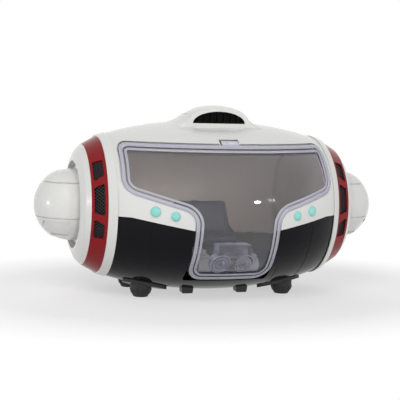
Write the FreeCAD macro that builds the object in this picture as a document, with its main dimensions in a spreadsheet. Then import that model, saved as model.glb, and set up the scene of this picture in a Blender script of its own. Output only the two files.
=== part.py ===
import FreeCAD, Part
import math
import os
import Sketcher

# Toy pod vehicle: a hollow barrel hull lying along X with a clear canopy hinged low on its front side.
# The front is -Y, the ground is Z = 0, and the origin is on the ground under the middle of the hull.

doc = FreeCAD.newDocument("toy_pod")
sizes = doc.addObject("Spreadsheet::Sheet", "sizes")

# Millimetres. Heights that start with "rise" are measured up or down from the long axis of the hull.
DRIVING_SIZES = {
    "axis_height": 70.5,
    "hull_half_depth": 89.0,
    "hull_half_height": 68.0,
    "depth_curve": 117.0,
    "height_curve": 153.0,
    "hull_end": 87.0,
    "loft_end": 93.0,
    "shell_wall": 3.0,
    "lip_gap": 0.15,
    "lip_wall": 1.8,
    "lip_start": 83.0,
    "flange_proud": 1.0,
    "seam_end_rise": -2.5,
    "seam_bend_place": 78.0,
    "seam_middle_rise": -11.0,
    "seam_middle_place": 33.0,
    "canopy_wall": 1.4,
    "canopy_seat": 1.8,
    "canopy_bead": 0.9,
    "bead_width": 2.6,
    "bead_groove": 1.0,
    "inner_bead_width": 1.8,
    "window_half_top": 83.0,
    "window_top_rise": 51.5,
    "window_half_low": 84.0,
    "window_low_rise": 17.0,
    "tongue_half_width": 33.0,
    "tongue_root_rise": 2.0,
    "tongue_end_rise": -52.0,
    "door_gap": 0.9,
    "door_ledge": 2.5,
    "ledge_stop_rise": -20.0,
    "tongue_floor_gap": 1.6,
    "door_corner": 2.5,
    "latch_half_width": 7.0,
    "latch_height": 3.0,
    "latch_overlap": 2.0,
    "pivot_place": -58.0,
    "pivot_rise": -40.0,
    "pin_radius": 1.5,
    "pin_clearance": 0.06,
    "hinge_block_half": 13.0,
    "hinge_block_low": 8.4,
    "hinge_block_high": 17.4,
    "hinge_block_back": 6.0,
    "hinge_boss_radius": 7.5,
    "hinge_boss_place": 9.5,
    "hinge_boss_lift": 2.5,
    "hinge_boss_front": 20.0,
    "hinge_boss_back": 6.4,
    "hinge_web_half": 4.0,
    "support_start": 14.0,
    "support_end": 24.0,
    "support_eye_radius": 5.5,
    "knuckle_radius": 5.0,
    "seat_half_width": 22.0,
    "seat_front": -16.0,
    "seat_pad_height": 9.0,
    "seat_back_height": 34.0,
    "seat_round": 2.2,
    "floor_half_width": 80.0,
    "floor_top_rise": -33.0,
    "floor_plate": 3.0,
    "floor_front": -44.0,
    "floor_wing_gap": 5.0,
    "band_start": 93.0,
    "band_end": 104.5,
    "band_radius_in": 54.0,
    "band_radius_out": 47.5,
    "band_wall": 2.4,
    "mesh_wall": 0.8,
    "slot_width": 7.4,
    "slot_corner": 1.2,
    "cap_rim_place": 111.0,
    "cap_rim_radius": 36.5,
    "cap_rim_bevel": 0.8,
    "cap_rim_slope": 2.4,
    "cap_shoulder_run": 3.6,
    "cap_shoulder_step": 7.2,
    "cap_shoulder_round": 3.0,
    "socket_depth": 9.0,
    "socket_wall": 3.0,
    "socket_gap": 0.05,
    "recess_radius": 34.5,
    "recess_floor": 105.5,
    "cap_wall": 2.4,
    "dome_radius": 29.0,
    "dome_centre": 112.0,
    "dome_tip": 141.0,
    "dome_wall": 2.2,
    "dome_relief": 0.8,
    "dome_crown_rise": 26.5,
    "dome_belly_rise": -24.5,
    "dome_line_rise": 18.0,
    "dome_low_line_rise": -9.0,
    "dome_line_width": 0.9,
    "dome_panel_edge": 2.0,
    "dome_panel_start": 5.0,
    "dome_panel_stop": 5.5,
    "collar_step": 1.4,
    "collar_width": 2.4,
    "spigot_radius": 7.0,
    "spigot_length": 8.0,
    "lamp_radius": 4.0,
    "small_lamp_radius": 3.6,
    "lamp_gap": 0.05,
    "lamp_reach": 6.0,
    "scoop_half_width": 26.0,
    "scoop_foot_rise": 52.0,
    "scoop_top_rise": 79.6,
    "scoop_mouth_place": -27.0,
    "mouth_half_width": 21.5,
    "mouth_height": 9.4,
    "mouth_base_rise": 66.6,
    "mouth_depth": 7.0,
    "grille_place": 2.0,
    "grille_depth": 3.0,
    "grille_gap": 0.1,
    "louvre_border": 1.4,
    "louvre_pitch": 5.4,
    "louvre_width": 1.5,
    "dish_half_width": 22.0,
    "dish_length": 12.0,
    "foot_place_x": 59.0,
    "foot_place_y": 22.0,
    "foot_plate": 2.2,
    "foot_radius": 8.3,
    "foot_sole_radius": 5.7,
    "foot_waist_height": 3.0,
    "foot_pad_height": 12.0,
    "leaf_half_length": 18.0,
    "leaf_half_width": 7.5,
    "leaf_shift": 3.0,
    "keel_place_x": 22.5,
    "keel_place_y": 25.0,
    "keel_half_length": 4.2,
    "keel_half_root": 6.0,
    "keel_half_depth": 4.0,
    "keel_pad_rise": -68.1,
    "keel_root_rise": -56.0,
}
for row, (alias, number) in enumerate(DRIVING_SIZES.items(), start=1):
    sizes.set(f"A{row}", alias)
    sizes.set(f"B{row}", str(number))
    sizes.setAlias(f"B{row}", alias)
doc.recompute()

LENGTHWISE = FreeCAD.Rotation(FreeCAD.Vector(1, 1, 1), 120)
SECTION_COUNT = 9


def value(expression):
    """Number that a sheet expression gives now."""
    return float(sizes.evalExpression(expression))


def bind(item, expressions):
    """Tie properties of an object to sheet expressions."""
    for name, expression in expressions.items():
        item.setExpression(name, expression)
    return item


def cut(name, base, *tools):
    """Base with every tool taken away."""
    for index, tool in enumerate(tools):
        result = doc.addObject("Part::Cut", name if index == len(tools) - 1 else f"{name}_step_{index}")
        result.Base = base
        result.Tool = tool
        base = result
    return base


def fuse(name, *items):
    """One solid out of several that touch."""
    result = doc.addObject("Part::MultiFuse", name)
    result.Shapes = list(items)
    result.Refine = True
    return result


def common(name, first, second):
    """What two solids share."""
    result = doc.addObject("Part::Common", name)
    result.Base = first
    result.Tool = second
    return result


def block(name, x_span, y_span, z_span):
    """Box between pairs of expressions along X, Y and Z, Z measured from the hull's axis."""
    box = doc.addObject("Part::Box", name)
    for side, place, (start, end) in zip(("Length", "Width", "Height"), "xyz", (x_span, y_span, z_span)):
        lift = " + sizes.axis_height" if place == "z" else ""
        bind(box, {side: f"({end}) - ({start})", f"Placement.Base.{place}": f"{start}{lift}"})
    return box


def hull_form(name, inset):
    """Solid barrel with elliptical sections about X, smaller all round by the inset expression."""
    sections = []
    for index in range(SECTION_COUNT):
        share = 2 * index / (SECTION_COUNT - 1) - 1
        place = f"sizes.loft_end * {share}"
        section = doc.addObject("Part::Ellipse", f"{name}_section_{index}")
        section.Placement.Rotation = LENGTHWISE
        bind(section, {
            "MajorRadius": f"sizes.hull_half_depth * sqrt(1 - ({place} / sizes.depth_curve)^2) - ({inset})",
            "MinorRadius": f"sizes.hull_half_height * sqrt(1 - ({place} / sizes.height_curve)^2) - ({inset}) - 0.001",
            "Placement.Base.x": place,
            "Placement.Base.z": "sizes.axis_height",
        })
        sections.append(section)
    form = doc.addObject("Part::Loft", name)
    form.Sections = sections
    form.Solid = True
    return form


def rounded_wire(corners):
    """Closed wire in the XZ plane through corners (x, z, radius), each rounded by a tangent arc."""
    points = [FreeCAD.Vector(x, 0, z) for x, z, radius in corners]
    arcs = []
    for index, (x, z, radius) in enumerate(corners):
        here = points[index]
        back = (points[index - 1] - here).normalize()
        ahead = (points[(index + 1) % len(points)] - here).normalize()
        half_angle = back.getAngle(ahead) / 2
        run = radius / math.tan(half_angle)
        middle = here + (back + ahead).normalize() * (radius / math.sin(half_angle) - radius)
        arcs.append((here + back * run, middle, here + ahead * run))
    edges = []
    for index, (start, middle, end) in enumerate(arcs):
        edges.append(Part.Arc(start, middle, end).toShape())
        edges.append(Part.LineSegment(end, arcs[(index + 1) % len(arcs)][0]).toShape())
    return Part.Wire(edges)


def front_outline(name, right_corners):
    """Outline seen from the front, given by its right-hand corners from the top down and mirrored."""
    left_corners = [(-x, z, radius) for x, z, radius in reversed(right_corners)]
    outline = doc.addObject("Part::Feature", name)
    outline.Shape = rounded_wire(right_corners + left_corners)
    outline.Placement = FreeCAD.Placement(FreeCAD.Vector(0, 0, value("axis_height")), FreeCAD.Rotation())
    return outline


def grown(name, outline, amount):
    """The outline moved outwards by an expression, or inwards where that is negative."""
    offset = doc.addObject("Part::Offset2D", name)
    offset.Source = outline
    offset.setExpression("Value", amount)
    return offset


def front_prism(name, outline):
    """Solid that runs from the hull's middle plane forwards through the front skin."""
    prism = doc.addObject("Part::Extrusion", name)
    prism.Base = outline
    prism.DirMode = "Custom"
    prism.Dir = FreeCAD.Vector(0, -1, 0)
    prism.Solid = True
    prism.setExpression("LengthFwd", "sizes.hull_half_depth + 10")
    return prism


def held_outline(part, name, role, corners):
    """Closed straight-sided sketch on one of the body's own planes, every corner held to the origin."""
    sketch = part.newObject("Sketcher::SketchObject", name)
    plane = next(feature for feature in part.Origin.OriginFeatures if feature.Role == role)
    sketch.AttachmentSupport = [(plane, "")]
    sketch.MapMode = "FlatFace"
    points = [FreeCAD.Vector(value(across), value(up), 0) for across, up in corners]
    for start, end in zip(points, points[1:] + points[:1]):
        sketch.addGeometry(Part.LineSegment(start, end))
    for index in range(len(corners)):
        sketch.addConstraint(Sketcher.Constraint("Coincident", index, 2, (index + 1) % len(corners), 1))
    for index, (point, corner) in enumerate(zip(points, corners)):
        for kind, number, expression in zip(("DistanceX", "DistanceY"), (point.x, point.y), corner):
            held = sketch.addConstraint(Sketcher.Constraint(kind, -1, 1, index, 1, number))
            sketch.setExpression(f"Constraints[{held}]", expression)
    doc.recompute()
    return sketch


def turned(part, profile, name):
    """Revolution of a profile about the body's X axis."""
    feature = part.newObject("PartDesign::Revolution", name)
    feature.Profile = profile
    feature.ReferenceAxis = (profile, ["H_Axis"])
    feature.Angle = 360
    doc.recompute()
    return feature


def round_edges(shape, places):
    """Names of the circular edges about X at the given (place, radius) pairs."""
    names = []
    for index, edge in enumerate(shape.Edges, start=1):
        curve = edge.Curve
        if not isinstance(curve, Part.Circle):
            continue
        for place, radius in places:
            if abs(curve.Center.x - place) < 0.01 and abs(curve.Radius - radius) < 0.01:
                names.append(f"Edge{index}")
    return names


def softened(part, name, base, edges, radius):
    """Fillet on some edges of the last feature."""
    feature = part.newObject("PartDesign::Fillet", name)
    feature.Base = (base, edges)
    feature.setExpression("Radius", radius)
    doc.recompute()
    return feature


def at_axis(item):
    """Put a body made about its own X axis on the hull's axis."""
    item.Placement.Base = FreeCAD.Vector(0, 0, value("axis_height"))
    return item


def rod(name, direction, radius, length, base):
    """Round bar from a base point (expressions, Z from the hull's axis) along a unit direction."""
    bar = doc.addObject("Part::Cylinder", name)
    bar.Placement.Rotation = FreeCAD.Rotation(FreeCAD.Vector(0, 0, 1), FreeCAD.Vector(*direction))
    bind(bar, {"Radius": radius, "Height": length, "Placement.Base.x": base[0],
               "Placement.Base.y": base[1], "Placement.Base.z": f"{base[2]} + sizes.axis_height"})
    return bar


# Skins of the hull, from the outermost in
flange_skin = hull_form("flange_skin", "-sizes.flange_proud")
bead_skin = hull_form("bead_skin", "-sizes.canopy_bead")
outer_skin = hull_form("outer_skin", "0")
canopy_inside = hull_form("canopy_inside", "sizes.canopy_wall")
seat_skin = hull_form("seat_skin", "sizes.canopy_seat")
inner_skin = hull_form("inner_skin", "sizes.shell_wall")
lip_outside = hull_form("lip_outside", "sizes.shell_wall + sizes.lip_gap")
lip_inside = hull_form("lip_inside", "sizes.shell_wall + sizes.lip_gap + sizes.lip_wall")

# Canopy outline: a wide rounded shield with a tongue down the middle
canopy_outline = front_outline("canopy_outline", [
    (value("window_half_top"), value("window_top_rise"), 7.0),
    (value("window_half_low"), value("window_low_rise"), 12.0),
    (value("tongue_half_width"), value("tongue_root_rise"), 12.0),
    (value("tongue_half_width"), value("tongue_end_rise"), 12.0),
])
canopy_prism = front_prism("canopy_prism", canopy_outline)
seat_prism = front_prism("seat_prism", grown("seat_outline", canopy_outline, "sizes.door_gap"))
through_prism = front_prism("through_prism", grown("through_outline", canopy_outline, "-sizes.door_ledge"))
bead_inner_prism = front_prism("bead_inner_prism", grown("bead_inner_outline", canopy_outline, "-sizes.bead_width"))
second_bead_prism = front_prism("second_bead_prism", grown(
    "second_bead_outline", canopy_outline, "-(sizes.bead_width + sizes.bead_groove)"))
field_prism = front_prism("field_prism", grown(
    "field_outline", canopy_outline, "-(sizes.bead_width + sizes.bead_groove + sizes.inner_bead_width)"))

# Door cut for the tongue, square-cornered and a little deeper, so that the tongue's end can swing inside
door_outline = front_outline("door_outline", [
    (value("tongue_half_width + door_gap"), value("ledge_stop_rise"), 1.0),
    (value("tongue_half_width + door_gap"), value("tongue_end_rise - tongue_floor_gap"), value("door_corner")),
])
door_prism = front_prism("door_prism", door_outline)

# Seam between the white upper shell and the black lower shell, dipping under the cheeks
seam_outline = front_outline("seam_outline", [
    (value("loft_end + 10"), value("hull_half_height + 20"), 1.0),
    (value("loft_end + 10"), value("seam_end_rise"), 1.0),
    (value("seam_bend_place"), value("seam_end_rise"), 20.0),
    (value("seam_middle_place"), value("seam_middle_rise"), 20.0),
])
above_seam = doc.addObject("Part::Extrusion", "above_seam")
above_seam.Base = seam_outline
above_seam.DirMode = "Custom"
above_seam.Dir = FreeCAD.Vector(0, -1, 0)
above_seam.Solid = True
bind(above_seam, {"LengthFwd": "sizes.hull_half_depth + 10", "LengthRev": "sizes.hull_half_depth + 10"})

hull_span = block("hull_span", ("-sizes.hull_end", "sizes.hull_end"),
                  ("-sizes.hull_half_depth - 5", "sizes.hull_half_depth + 5"),
                  ("-sizes.hull_half_height - 5", "sizes.hull_half_height + 5"))
shell_tube = common("shell_tube", cut("hull_wall", outer_skin, inner_skin), hull_span)
seat_cut = cut("seat_cut", seat_prism, seat_skin)
shell_open = cut("shell_open", shell_tube, seat_cut, through_prism, door_prism)
upper_shell = common("upper_shell_plain", shell_open, above_seam)
lower_hull = cut("lower_hull", shell_open, above_seam)

canopy_thick = common("canopy_thick", cut("canopy_wall_form", bead_skin, canopy_inside), canopy_prism)
bead_groove_prism = cut("bead_groove_prism", bead_inner_prism, second_bead_prism)
groove_cut = cut("groove_cut", bead_groove_prism, outer_skin)
field_cut = cut("field_cut", field_prism, outer_skin)
canopy = cut("canopy_plain", canopy_thick, groove_cut, field_cut)

ACROSS = FreeCAD.Vector(1, 0, 0)
FRONT_TO_BACK = FreeCAD.Vector(0, 1, 0)
pieces = []


def mirrored(name, item, normal):
    """The same piece on the other side of the hull's middle plane."""
    result = doc.addObject("Part::Mirroring", name)
    result.Source = item
    result.Normal = normal
    return result


def piece(item, label):
    """Name a finished sub-part; the name is also its file's."""
    item.Label = label
    pieces.append(item)
    return item


# End caps: a flange that follows the hull, a lip inside the shells, and a dished face with a socket for the dome
BAND_LAYERS = "sizes.band_wall - sizes.mesh_wall"
SOCKET_OUTSIDE = "sizes.spigot_radius + sizes.socket_wall"
CAP_PROFILE = [
    ("sizes.band_start", f"sizes.band_radius_in - {BAND_LAYERS}"),
    ("sizes.band_end", f"sizes.band_radius_out - {BAND_LAYERS}"),
    ("sizes.band_end", "sizes.band_radius_out"),
    ("sizes.band_end + sizes.cap_shoulder_run", "sizes.cap_rim_radius + sizes.cap_shoulder_step"),
    ("sizes.cap_rim_place - sizes.cap_rim_bevel", "sizes.cap_rim_radius + sizes.cap_rim_slope"),
    ("sizes.cap_rim_place", "sizes.cap_rim_radius"),
    ("sizes.cap_rim_place", "sizes.recess_radius"),
    ("sizes.recess_floor", "sizes.recess_radius"),
    ("sizes.recess_floor", "sizes.spigot_radius + sizes.socket_gap"),
    ("sizes.recess_floor - sizes.socket_depth", "sizes.spigot_radius + sizes.socket_gap"),
    ("sizes.recess_floor - sizes.socket_depth", SOCKET_OUTSIDE),
    ("sizes.recess_floor - sizes.cap_wall", SOCKET_OUTSIDE),
    ("sizes.recess_floor - sizes.cap_wall", f"sizes.band_radius_out - {BAND_LAYERS} - sizes.cap_wall"),
    ("sizes.band_start", f"sizes.band_radius_in - {BAND_LAYERS} - sizes.cap_wall"),
]


def end_cap():
    """White moulding that closes one end of the hull."""
    dish = doc.addObject("PartDesign::Body", "cap_dish")
    base = turned(dish, held_outline(dish, "cap_profile", "XZ_Plane", CAP_PROFILE), "cap_turned")
    shoulder = (value("band_end + cap_shoulder_run"), value("cap_rim_radius + cap_shoulder_step"))
    softened(dish, "cap_soft", base, round_edges(base.Shape, [shoulder]), "sizes.cap_shoulder_round")
    at_axis(dish)
    tall = ("-sizes.hull_half_height", "sizes.hull_half_height")
    wide = ("-sizes.hull_half_depth", "sizes.hull_half_depth")
    flange = common("flange", flange_skin, block("flange_span", ("sizes.hull_end", "sizes.loft_end"), wide, tall))
    lip = common("lip", lip_outside, block("lip_span", ("sizes.lip_start", "sizes.hull_end + 1"), wide, tall))
    rim = cut("cap_rim", fuse("cap_rim_form", flange, lip), lip_inside)
    return fuse("end_cap", rim, dish)


# Red ring on each end, with a row of slots between leaning bars front and rear and a dark mesh sleeve under them
BAND_PROFILE = [
    ("sizes.band_start", "sizes.band_radius_in - sizes.band_wall"),
    ("sizes.band_start", "sizes.band_radius_in"),
    ("sizes.band_end", "sizes.band_radius_out"),
    ("sizes.band_end", "sizes.band_radius_out - sizes.band_wall"),
]
MESH_PROFILE = [
    ("sizes.band_start", "sizes.band_radius_in - sizes.band_wall - sizes.mesh_wall"),
    ("sizes.band_start", "sizes.band_radius_in - sizes.band_wall"),
    ("sizes.band_end", "sizes.band_radius_out - sizes.band_wall"),
    ("sizes.band_end", "sizes.band_radius_out - sizes.band_wall - sizes.mesh_wall"),
]
# Angle of each slot above the horizontal, then how far it reaches up and down at its hull side and its outer side
SLOTS = [(38.0, (7.5, 6.5), (7.5, 9.5)), (9.5, (13.0, 12.0), (9.5, 9.0)), (-16.5, (5.0, 7.0), (8.0, 7.0))]


def slot_cutter(name, angle, hull_side, outer_side, rear):
    """Slot driven through the ring at an angle above the horizontal, front or rear."""
    middle = value("(band_start + band_end) / 2")
    half_width = value("slot_width / 2")
    corner = value("slot_corner")
    turn = -1 if rear else 1
    corners = [
        (middle + half_width, turn * outer_side[0], corner), (middle + half_width, -turn * outer_side[1], corner),
        (middle - half_width, -turn * hull_side[1], corner), (middle - half_width, turn * hull_side[0], corner)]
    wire = doc.addObject("Part::Feature", f"{name}_outline")
    wire.Shape = rounded_wire(corners)
    wire.Placement = FreeCAD.Placement(
        FreeCAD.Vector(0, 0, value("axis_height")),
        FreeCAD.Rotation(FreeCAD.Vector(1, 0, 0), 180 + angle if rear else -angle))
    cutter = doc.addObject("Part::Extrusion", name)
    cutter.Base = wire
    cutter.DirMode = "Custom"
    cutter.Dir = wire.Placement.Rotation.multVec(FreeCAD.Vector(0, -1, 0))
    cutter.Solid = True
    cutter.setExpression("LengthFwd", "sizes.hull_half_height")
    return cutter


def end_ring():
    """Red ring with its slots."""
    ring = doc.addObject("PartDesign::Body", "ring")
    turned(ring, held_outline(ring, "ring_profile", "XZ_Plane", BAND_PROFILE), "ring_turned")
    at_axis(ring)
    cutters = []
    for number, slot in enumerate(SLOTS):
        for place in ("front", "rear"):
            cutters.append(slot_cutter(f"slot_{place}_{number}", *slot, place == "rear"))
    return cut("ring_band", ring, fuse("slots", *cutters))


def mesh_sleeve():
    """Dark sleeve that shows through the slots."""
    sleeve = doc.addObject("PartDesign::Body", "mesh_sleeve")
    turned(sleeve, held_outline(sleeve, "mesh_profile", "XZ_Plane", MESH_PROFILE), "mesh_turned")
    return at_axis(sleeve)


def dome_form(name, radius):
    """Half ball with a short cylinder behind it, pointing out along +X."""
    ball = doc.addObject("Part::Sphere", f"{name}_ball")
    bind(ball, {"Radius": radius, "Placement.Base.x": "sizes.dome_centre", "Placement.Base.z": "sizes.axis_height"})
    barrel = rod(f"{name}_barrel", (1, 0, 0), radius, "sizes.dome_centre - sizes.recess_floor",
                 ("sizes.recess_floor", "0", "0"))
    reach = ("-sizes.dome_radius - 5", "sizes.dome_radius + 5")
    behind = block(f"{name}_behind", ("sizes.recess_floor - sizes.dome_radius", "sizes.recess_floor"), reach, reach)
    return cut(name, fuse(f"{name}_both", ball, barrel), behind)


def side_dome():
    """White hollow dome with stepped crown and underside and a recessed panel; its spigot plugs into the cap."""
    skin = dome_form("dome_skin", "sizes.dome_radius")
    core = dome_form("dome_core", "sizes.dome_radius - sizes.dome_relief")
    hollow = dome_form("dome_hollow", "sizes.dome_radius - sizes.dome_wall")
    along = ("sizes.recess_floor", "sizes.dome_tip + 1")
    outside = "sizes.dome_radius + 1"
    wide = (f"-({outside})", outside)
    panel = ("sizes.dome_centre + sizes.dome_panel_start", "sizes.dome_tip - sizes.dome_panel_stop")
    panel_tall = ("sizes.dome_belly_rise + sizes.dome_panel_edge", "sizes.dome_low_line_rise - sizes.dome_panel_edge")
    reliefs = [
        block("crown_span", along, wide, ("sizes.dome_crown_rise", outside)),
        block("belly_span", along, wide, (f"-({outside})", "sizes.dome_belly_rise")),
        block("upper_line", along, wide, ("sizes.dome_line_rise", "sizes.dome_line_rise + sizes.dome_line_width")),
        block("lower_line", along, wide,
              ("sizes.dome_low_line_rise", "sizes.dome_low_line_rise + sizes.dome_line_width")),
        block("panel_front", panel, (f"-({outside})", "-sizes.spigot_radius"), panel_tall),
        block("panel_rear", panel, ("sizes.spigot_radius", outside), panel_tall),
    ]
    relief = cut("dome_relief_form", fuse("dome_reliefs", *reliefs), core)
    shell = cut("dome_shell", skin, relief, hollow)
    back = ("sizes.recess_floor", "0", "0")
    collar = cut("dome_collar",
                 rod("collar_out", (1, 0, 0), "sizes.dome_radius + sizes.collar_step", "sizes.collar_width", back),
                 rod("collar_in", (1, 0, 0), "sizes.dome_radius - sizes.dome_wall", "sizes.collar_width", back))
    spigot = rod("spigot", (1, 0, 0), "sizes.spigot_radius",
                 "sizes.dome_tip - sizes.recess_floor + sizes.spigot_length - sizes.dome_wall / 2",
                 ("sizes.recess_floor - sizes.spigot_length", "0", "0"))
    return fuse("side_dome", shell, collar, spigot)


for label, item in (("end_cap", end_cap()), ("ring_band", end_ring()), ("vent_mesh", mesh_sleeve()),
                    ("side_dome", side_dome())):
    piece(item, f"{label}_right")
    piece(mirrored(f"{label}_mirrored", item, ACROSS), f"{label}_left")


# Lamps: domed lenses let into the cheeks, square to the skin
LAMPS = [("inner", 48.0, -0.4, "small_lamp_radius"), ("outer", 62.0, 2.6, "lamp_radius")]
BALL_TO_LENS = 1.25
BALL_SINK = 0.62


def skin_point(x, rise):
    """Point of the front skin and its outward direction."""
    depth = value("hull_half_depth") * math.sqrt(1 - (x / value("depth_curve")) ** 2)
    height = value("hull_half_height") * math.sqrt(1 - (x / value("height_curve")) ** 2)
    depth_slope = -value("hull_half_depth") ** 2 * x / (value("depth_curve") ** 2 * depth)
    height_slope = -value("hull_half_height") ** 2 * x / (value("height_curve") ** 2 * height)
    y = -depth * math.sqrt(1 - (rise / height) ** 2)
    outward = FreeCAD.Vector(-(y ** 2 / depth ** 3) * depth_slope - (rise ** 2 / height ** 3) * height_slope,
                             y / depth ** 2, rise / height ** 2).normalize()
    return FreeCAD.Vector(x, y, rise + value("axis_height")), outward


def lens_rod(name, radius, length, point, outward, sunk):
    """Round bar square to the skin, starting some way under it."""
    bar = bind(doc.addObject("Part::Cylinder", name), {"Radius": radius, "Height": length})
    bar.Placement = FreeCAD.Placement(point - outward * sunk, FreeCAD.Rotation(FreeCAD.Vector(0, 0, 1), outward))
    return bar


lamp_holes = []
for side, sign in (("left", -1), ("right", 1)):
    for name, across, rise, radius in LAMPS:
        point, outward = skin_point(across * sign, rise)
        label = f"lamp_{name}_{side}"
        lens = f"sizes.{radius}"
        stem = lens_rod(f"{label}_stem", lens, "sizes.shell_wall", point, outward, value("shell_wall"))
        reach = lens_rod(f"{label}_reach", lens, "sizes.lamp_reach", point, outward, 1.0)
        ball = bind(doc.addObject("Part::Sphere", f"{label}_ball"), {"Radius": f"{lens} * {BALL_TO_LENS}"})
        ball.Placement.Base = point - outward * (value(radius) * BALL_SINK)
        piece(fuse(f"{label}_lens", stem, common(f"{label}_bead", ball, reach)), label)
        lamp_holes.append(lens_rod(f"{label}_hole", f"{lens} + sizes.lamp_gap", "2 * sizes.lamp_reach",
                                   point, outward, value("lamp_reach")))


# Roof scoop: a bell-shaped hood that fades into the roof, open to the front, with a louvred grille in its mouth
BELL_FLARE = [(1.5, 0.0), (1.17, 0.3), (1.0, 0.55), (0.81, 0.8), (0.46, 0.95), (0.0, 1.0)]


def bell_section(name, place, scale, top_rise):
    """Closed bell outline across the hull at one place along Y."""
    half = value("scoop_half_width") * scale
    foot_rise = value("scoop_foot_rise")
    height = top_rise - foot_rise
    right = [FreeCAD.Vector(half * across, place, foot_rise + height * up) for across, up in BELL_FLARE]
    left = [FreeCAD.Vector(-point.x, point.y, point.z) for point in reversed(right[:-1])]
    crown = Part.BSplineCurve()
    crown.interpolate(right + left)
    section = doc.addObject("Part::Feature", name)
    section.Shape = Part.Wire([crown.toShape(), Part.LineSegment(left[-1], right[0]).toShape()])
    section.Placement = FreeCAD.Placement(FreeCAD.Vector(0, 0, value("axis_height")), FreeCAD.Rotation())
    return section


def half_round_prism(name, inset):
    """Solid behind a half-ellipse that stands on its flat side, smaller all round by the inset."""
    half_width = value("mouth_half_width") - inset
    base_rise = value("mouth_base_rise + axis_height") + inset
    top_rise = value("mouth_base_rise + mouth_height + axis_height") - inset
    centre = FreeCAD.Vector(0, 0, base_rise)
    oval = Part.Ellipse(FreeCAD.Vector(half_width, 0, base_rise), FreeCAD.Vector(0, 0, top_rise), centre)
    arch = Part.ArcOfEllipse(oval, 0, math.pi)
    outline = doc.addObject("Part::Feature", f"{name}_outline")
    outline.Shape = Part.Wire([arch.toShape(), Part.LineSegment(arch.EndPoint, arch.StartPoint).toShape()])
    return front_prism(name, outline)


SCOOP_SECTIONS = [(0.0, 1.0, 0.0), (20.0, 1.0, 0.6), (42.0, 0.86, -5.0), (66.0, 0.55, -20.0)]
scoop_form = doc.addObject("Part::Loft", "scoop_form")
scoop_form.Sections = [
    bell_section(f"scoop_section_{number}", value("scoop_mouth_place") + back, scale, value("scoop_top_rise") + lift)
    for number, (back, scale, lift) in enumerate(SCOOP_SECTIONS)]
scoop_form.Solid = True
mouth_wide = ("-sizes.scoop_half_width", "sizes.scoop_half_width")
mouth_tall = ("sizes.mouth_base_rise - 1", "sizes.scoop_top_rise")
mouth_long = ("sizes.scoop_mouth_place - 1", "sizes.scoop_mouth_place + sizes.mouth_depth")
mouth_reach = block("mouth_reach", mouth_wide, mouth_long, mouth_tall)
mouth_hollow = common("mouth_hollow", half_round_prism("mouth_prism", 0.0), mouth_reach)
piece(cut("scoop_hood", scoop_form, outer_skin, mouth_hollow), "roof_scoop")

grille_front = "sizes.scoop_mouth_place + sizes.grille_place"
grille_reach = block("grille_reach", mouth_wide, (grille_front, f"{grille_front} + sizes.grille_depth"), mouth_tall)
grille_slab = common("grille_slab", half_round_prism("grille_prism", value("grille_gap")), grille_reach)
pocket_reach = block("pocket_reach", mouth_wide, (f"{grille_front} - 1", f"{grille_front} + sizes.grille_depth / 2"),
                     mouth_tall)
pocket = common("grille_pocket", half_round_prism("pocket_prism", value("louvre_border")), pocket_reach)
louvres = [block(f"louvre_{number}",
                 (f"sizes.louvre_pitch * {number} - sizes.louvre_width / 2",
                  f"sizes.louvre_pitch * {number} + sizes.louvre_width / 2"),
                 (f"{grille_front} - 1", f"{grille_front} + sizes.grille_depth"), mouth_tall)
           for number in range(-3, 4)]
piece(cut("grille", grille_slab, cut("louvre_gaps", pocket, fuse("louvres", *louvres))), "scoop_grille")

# Shallow dish let into the roof in front of the scoop's mouth
dish_oval = bind(doc.addObject("Part::Ellipse", "dish_oval"), {
    "MajorRadius": "sizes.dish_half_width", "MinorRadius": "sizes.dish_length",
    "Placement.Base.y": "sizes.scoop_mouth_place", "Placement.Base.z": "sizes.axis_height + sizes.scoop_foot_rise"})
dish_prism = bind(doc.addObject("Part::Extrusion", "dish_prism"), {"LengthFwd": "sizes.hull_half_height / 2"})
dish_prism.Base = dish_oval
dish_prism.DirMode = "Custom"
dish_prism.Dir = FreeCAD.Vector(0, 0, 1)
dish_prism.Solid = True
dish_front = block("dish_front", mouth_wide, ("-sizes.hull_half_depth", "sizes.scoop_mouth_place"),
                   ("sizes.scoop_foot_rise", "sizes.hull_half_height"))
dish_cut = cut("dish_cut", common("dish_half", dish_prism, dish_front), canopy_inside)


# Cabin: a floor plate across the lower shell and a low bucket seat on it
floor_span = ("sizes.floor_top_rise - sizes.floor_plate", "sizes.floor_top_rise")
wing_start = "sizes.tongue_half_width + sizes.floor_wing_gap"
wing_depth = ("-sizes.hull_half_depth", "sizes.floor_front + 1")
floor_blank = fuse(
    "floor_blank",
    block("floor_middle", ("-sizes.floor_half_width", "sizes.floor_half_width"),
          ("sizes.floor_front", "sizes.hull_half_depth"), floor_span),
    block("floor_left", ("-sizes.floor_half_width", f"-({wing_start})"), wing_depth, floor_span),
    block("floor_right", (wing_start, "sizes.floor_half_width"), wing_depth, floor_span))
piece(common("floor_plate", floor_blank, inner_skin), "cabin_floor")

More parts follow.
